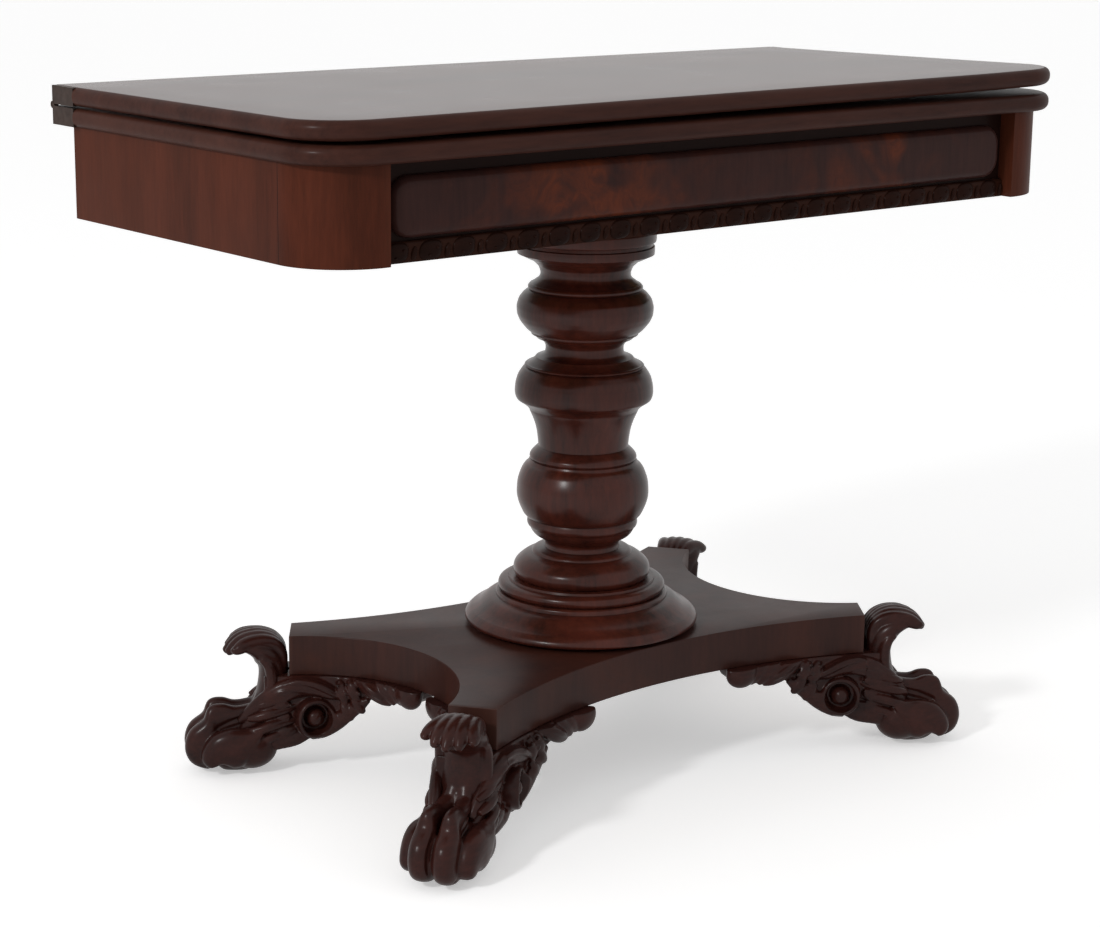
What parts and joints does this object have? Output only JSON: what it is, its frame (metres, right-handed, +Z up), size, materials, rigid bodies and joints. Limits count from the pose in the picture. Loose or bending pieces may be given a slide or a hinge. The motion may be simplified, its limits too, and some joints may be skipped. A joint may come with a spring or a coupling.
{
  "type": "card table",
  "caption": "Mahogany card table with a folding, swivelling double top on a turned pedestal with a hollow-sided plinth and carved winged paw feet.",
  "frame": {"origin": "on the floor under the middle of the column, which is also the middle of the closed top", "axes": "+X along the long side of the top towards its right end, +Y from the gadrooned front to the hinged back, +Z up"},
  "size_m": [0.965, 0.4656, 0.7245],
  "materials": {
    "mahogany": "semi-gloss old polish, dark red-brown",
    "figured_veneer": "semi-gloss figured veneer, red-brown",
    "carved_mahogany": "polished carving, near black in the hollows",
    "secondary_wood": "plain unpolished hidden wood",
    "aged_brass": "dark aged brass",
    "dark_iron": "dull dark iron"
  },
  "bodies": {
    "frame": {"end_apron_right": "figured_veneer", "end_apron_left": "figured_veneer", "front_rail": "mahogany", "back_rail": "secondary_wood", "glue_block_left": "secondary_wood", "glue_block_right": "secondary_wood", "well_floor": "secondary_wood", "well_divider": "secondary_wood", "pivot_rail": "secondary_wood", "front_tablet": "figured_veneer", "gadroon_moulding": "carved_mahogany", "mounting_cleat": "secondary_wood", "cleat_screw_1": "dark_iron", "cleat_screw_2": "dark_iron", "cleat_screw_3": "dark_iron", "cleat_screw_4": "dark_iron", "column_shaft": "mahogany", "column_capital": "mahogany", "column_flare": "mahogany", "plinth": "figured_veneer", "column_washer": "dark_iron", "column_lag_screw": "dark_iron", "paw_foot_front_left": "carved_mahogany", "wing_long_front_left": "carved_mahogany", "wing_short_front_left": "carved_mahogany", "foot_dowel_front_left": "secondary_wood", "paw_foot_front_right": "carved_mahogany", "wing_long_front_right": "carved_mahogany", "wing_short_front_right": "carved_mahogany", "foot_dowel_front_right": "secondary_wood", "paw_foot_back_left": "carved_mahogany", "wing_long_back_left": "carved_mahogany", "wing_short_back_left": "carved_mahogany", "foot_dowel_back_left": "secondary_wood", "paw_foot_back_right": "carved_mahogany", "wing_long_back_right": "carved_mahogany", "wing_short_back_right": "carved_mahogany", "foot_dowel_back_right": "secondary_wood"},
    "lower_top": {"lower_leaf": "mahogany", "hinge_plate_lower_left": "aged_brass", "hinge_pin_left": "aged_brass", "hinge_plate_lower_right": "aged_brass", "hinge_pin_right": "aged_brass", "pivot_plate": "dark_iron", "pivot_bolt": "dark_iron", "pivot_washer": "dark_iron", "pivot_nut": "dark_iron"},
    "upper_top": {"upper_leaf": "mahogany", "hinge_plate_upper_left": "aged_brass", "hinge_plate_upper_right": "aged_brass"}
  },
  "joints": [
    {"name": "top_swivel", "type": "hinge", "parent": "frame", "child": "lower_top", "pos_m": [0.1135, 0.1135, 0.6797], "axis": [0, 0, 1], "range_deg": [0, 90]},
    {"name": "leaf_fold", "type": "hinge", "parent": "lower_top", "child": "upper_top", "pos_m": [0, 0.2273, 0.6987], "axis": [-1, 0, 0], "range_deg": [0, 179.3]}
  ]
}
